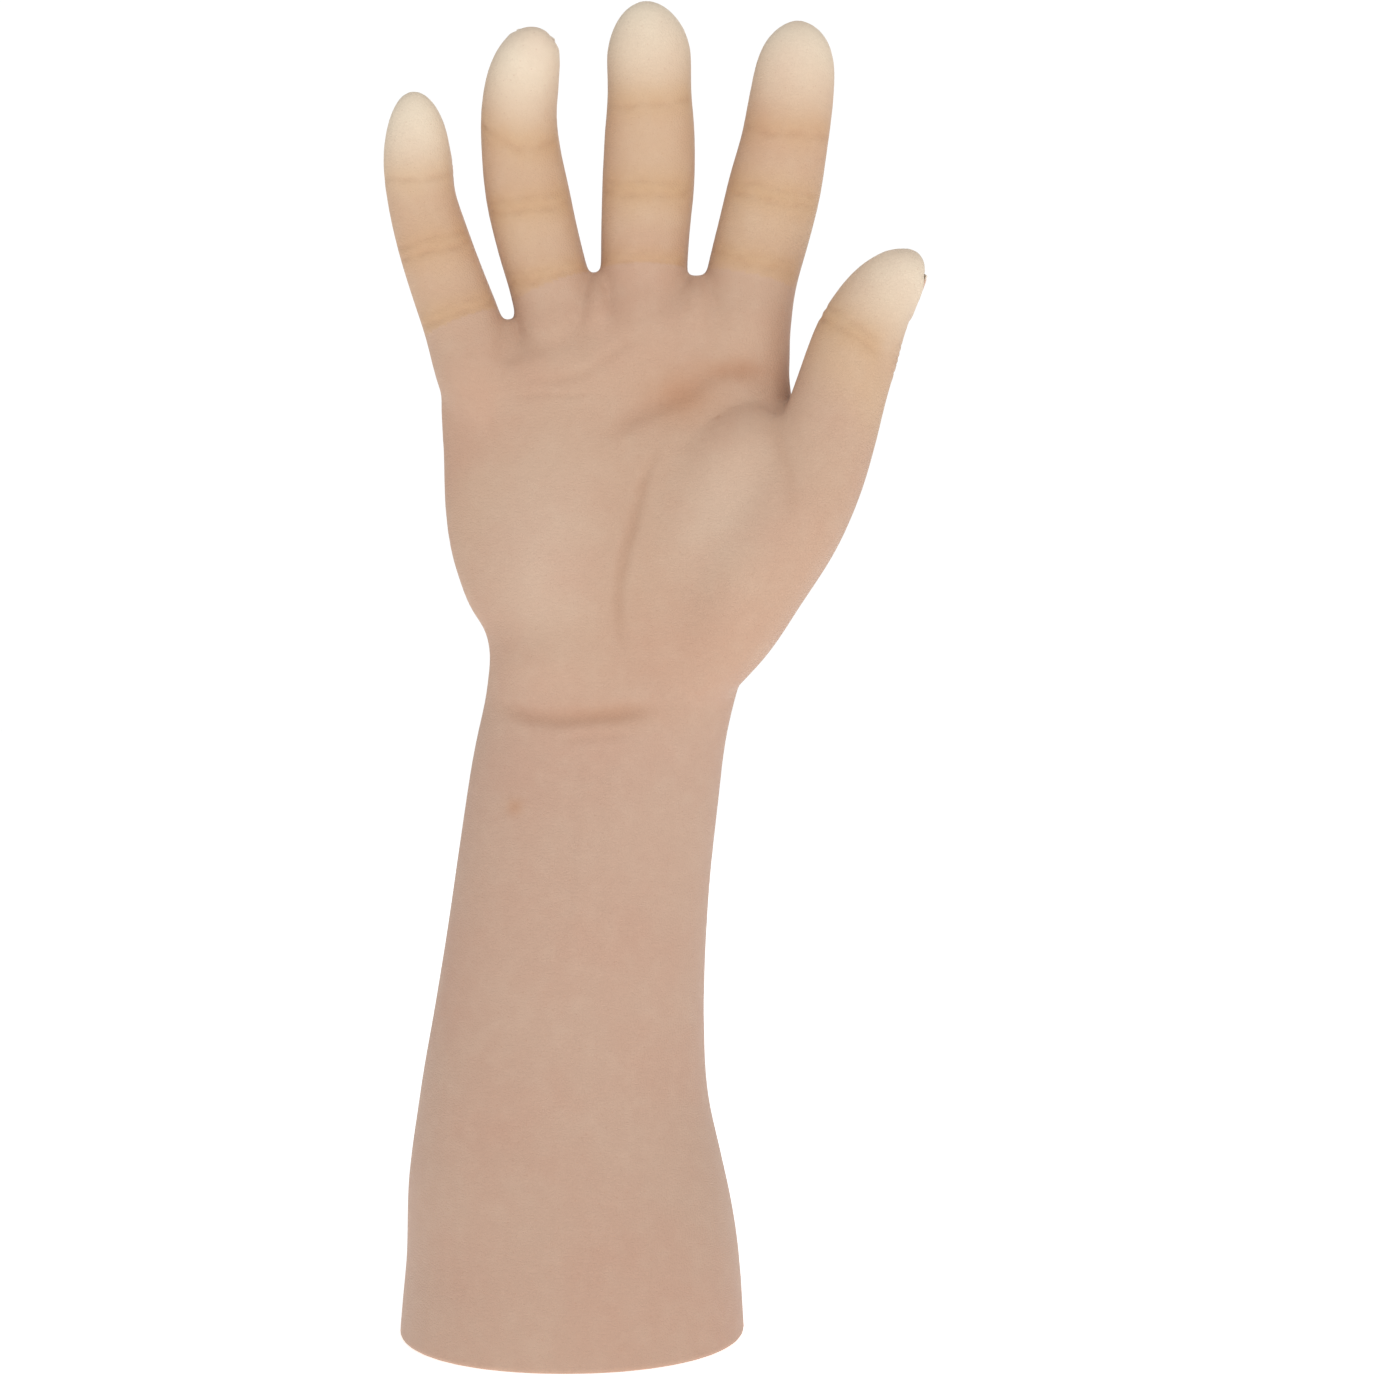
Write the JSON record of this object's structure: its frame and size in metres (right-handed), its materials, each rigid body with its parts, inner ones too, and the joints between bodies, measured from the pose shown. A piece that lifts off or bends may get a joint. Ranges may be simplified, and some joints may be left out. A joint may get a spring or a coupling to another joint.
{
  "type": "prosthetic hand",
  "caption": "Passive prosthetic right hand and forearm: flesh-coloured silicone skin over a posable pin-jointed finger frame, with an open socket for the residual limb.",
  "frame": {"origin": "centre of the forearm's open mouth, in the plane of its rim, where the socket rests or takes the limb", "axes": "+Z from the forearm's rim to the fingertips, the palm faces -Y, the thumb is on the +X side"},
  "size_m": [0.1436, 0.082, 0.3503],
  "materials": {
    "silicone_fingers": "matte flesh-coloured silicone",
    "silicone_fingertips": "pale translucent silicone",
    "silicone_palm": "matte flesh-coloured silicone, pinkish",
    "silicone_forearm": "matte flesh-coloured silicone",
    "acrylic_nail": "satin translucent acrylic",
    "laminate_shell": "satin laminated resin",
    "palm_foam": "soft closed-cell foam",
    "nylon_frame": "matte moulded nylon",
    "anodised_aluminium": "satin anodised",
    "friction_polymer": "matte",
    "steel_hardware": "satin stainless steel"
  },
  "bodies": {
    "forearm": {"forearm_skin": "silicone_forearm", "socket_shell": "laminate_shell", "socket_end_plate": "laminate_shell", "pin_lock": "anodised_aluminium", "lock_screws": "steel_hardware", "wrist_housing": "nylon_frame", "housing_screws": "steel_hardware", "wrist_friction_ring": "friction_polymer"},
    "wrist": {"wrist_rotor": "anodised_aluminium", "rotor_nut": "steel_hardware", "wrist_pin": "steel_hardware", "wrist_skin": "silicone_forearm"},
    "palm": {"palm_skin": "silicone_palm", "palm_foam": "palm_foam", "palm_frame": "nylon_frame", "knuckle_pins": "steel_hardware"},
    "index_proximal": {"index_proximal_link": "nylon_frame", "index_proximal_skin": "silicone_fingers", "index_middle_pin": "steel_hardware"},
    "index_middle": {"index_middle_link": "nylon_frame", "index_middle_skin": "silicone_fingers", "index_distal_pin": "steel_hardware"},
    "index_distal": {"index_distal_link": "nylon_frame", "index_distal_skin": "silicone_fingertips", "index_nail": "acrylic_nail"},
    "middle_proximal": {"middle_proximal_link": "nylon_frame", "middle_proximal_skin": "silicone_fingers", "middle_middle_pin": "steel_hardware"},
    "middle_middle": {"middle_middle_link": "nylon_frame", "middle_middle_skin": "silicone_fingers", "middle_distal_pin": "steel_hardware"},
    "middle_distal": {"middle_distal_link": "nylon_frame", "middle_distal_skin": "silicone_fingertips", "middle_nail": "acrylic_nail"},
    "ring_proximal": {"ring_proximal_link": "nylon_frame", "ring_proximal_skin": "silicone_fingers", "ring_middle_pin": "steel_hardware"},
    "ring_middle": {"ring_middle_link": "nylon_frame", "ring_middle_skin": "silicone_fingers", "ring_distal_pin": "steel_hardware"},
    "ring_distal": {"ring_distal_link": "nylon_frame", "ring_distal_skin": "silicone_fingertips", "ring_nail": "acrylic_nail"},
    "little_proximal": {"little_proximal_link": "nylon_frame", "little_proximal_skin": "silicone_fingers", "little_middle_pin": "steel_hardware"},
    "little_middle": {"little_middle_link": "nylon_frame", "little_middle_skin": "silicone_fingers", "little_distal_pin": "steel_hardware"},
    "little_distal": {"little_distal_link": "nylon_frame", "little_distal_skin": "silicone_fingertips", "little_nail": "acrylic_nail"},
    "thumb_proximal": {"thumb_proximal_link": "nylon_frame", "thumb_proximal_skin": "silicone_fingers", "thumb_distal_pin": "steel_hardware"},
    "thumb_distal": {"thumb_distal_link": "nylon_frame", "thumb_distal_skin": "silicone_fingertips", "thumb_nail": "acrylic_nail"}
  },
  "joints": [
    {"name": "wrist_rotation", "type": "hinge", "parent": "forearm", "child": "wrist", "pos_m": [0.006, 0, 0.134], "axis": [0, 0, 1], "range_deg": [-20, 20]},
    {"name": "wrist_flexion", "type": "hinge", "parent": "wrist", "child": "palm", "pos_m": [0.006, 0, 0.16], "axis": [1, 0, 0], "range_deg": [-30, 40]},
    {"name": "index_knuckle", "type": "hinge", "parent": "palm", "child": "index_proximal", "pos_m": [0.0475, 0.001, 0.279], "axis": [0.9781, 0, -0.2079], "range_deg": [-12.1, 38.9]},
    {"name": "index_middle_joint", "type": "hinge", "parent": "index_proximal", "child": "index_middle", "pos_m": [0.0536, -0.0015, 0.3015], "axis": [0.9781, 0, -0.2079], "range_deg": [-7.9, 52.1]},
    {"name": "index_end_joint", "type": "hinge", "parent": "index_middle", "child": "index_distal", "pos_m": [0.057, -0.0052, 0.3185], "axis": [0.9781, 0, -0.2079], "range_deg": [-3.4, 53.6]},
    {"name": "middle_knuckle", "type": "hinge", "parent": "palm", "child": "middle_proximal", "pos_m": [0.0192, 0.0015, 0.2793], "axis": [0.9998, 0, -0.0175], "range_deg": [-13.2, 37.8]},
    {"name": "middle_middle_joint", "type": "hinge", "parent": "middle_proximal", "child": "middle_middle", "pos_m": [0.0202, -0.0015, 0.3032], "axis": [0.9998, 0, -0.0175], "range_deg": [-7.2, 52.8]},
    {"name": "middle_end_joint", "type": "hinge", "parent": "middle_middle", "child": "middle_distal", "pos_m": [0.0209, -0.0065, 0.326], "axis": [0.9998, 0, -0.0175], "range_deg": [-3.7, 53.3]},
    {"name": "ring_knuckle", "type": "hinge", "parent": "palm", "child": "ring_proximal", "pos_m": [-0.0052, 0.001, 0.2757], "axis": [0.9925, 0, 0.1219], "range_deg": [-13.1, 37.9]},
    {"name": "ring_middle_joint", "type": "hinge", "parent": "ring_proximal", "child": "ring_middle", "pos_m": [-0.0104, -0.002, 0.2994], "axis": [0.9925, 0, 0.1219], "range_deg": [-8.1, 51.9]},
    {"name": "ring_end_joint", "type": "hinge", "parent": "ring_middle", "child": "ring_distal", "pos_m": [-0.0132, -0.007, 0.3205], "axis": [0.9925, 0, 0.1219], "range_deg": [-31.2, 25.8]},
    {"name": "little_knuckle", "type": "hinge", "parent": "palm", "child": "little_proximal", "pos_m": [-0.0278, -0.001, 0.266], "axis": [0.9703, 0, 0.2419], "range_deg": [-12.2, 38.8]},
    {"name": "little_middle_joint", "type": "hinge", "parent": "little_proximal", "child": "little_middle", "pos_m": [-0.0352, -0.0035, 0.288], "axis": [0.9703, 0, 0.2419], "range_deg": [-6.2, 53.8]},
    {"name": "little_end_joint", "type": "hinge", "parent": "little_middle", "child": "little_distal", "pos_m": [-0.0398, -0.007, 0.3065], "axis": [0.9703, 0, 0.2419], "range_deg": [-6.6, 50.4]},
    {"name": "thumb_knuckle", "type": "hinge", "parent": "palm", "child": "thumb_proximal", "pos_m": [0.0668, -0.009, 0.231], "axis": [0.6421, -0.7297, -0.235], "range_deg": [-16.4, 19.6]},
    {"name": "thumb_end_joint", "type": "hinge", "parent": "thumb_proximal", "child": "thumb_distal", "pos_m": [0.0756, -0.0114, 0.2625], "axis": [0.6421, -0.7297, -0.235], "range_deg": [-5, 29]}
  ]
}
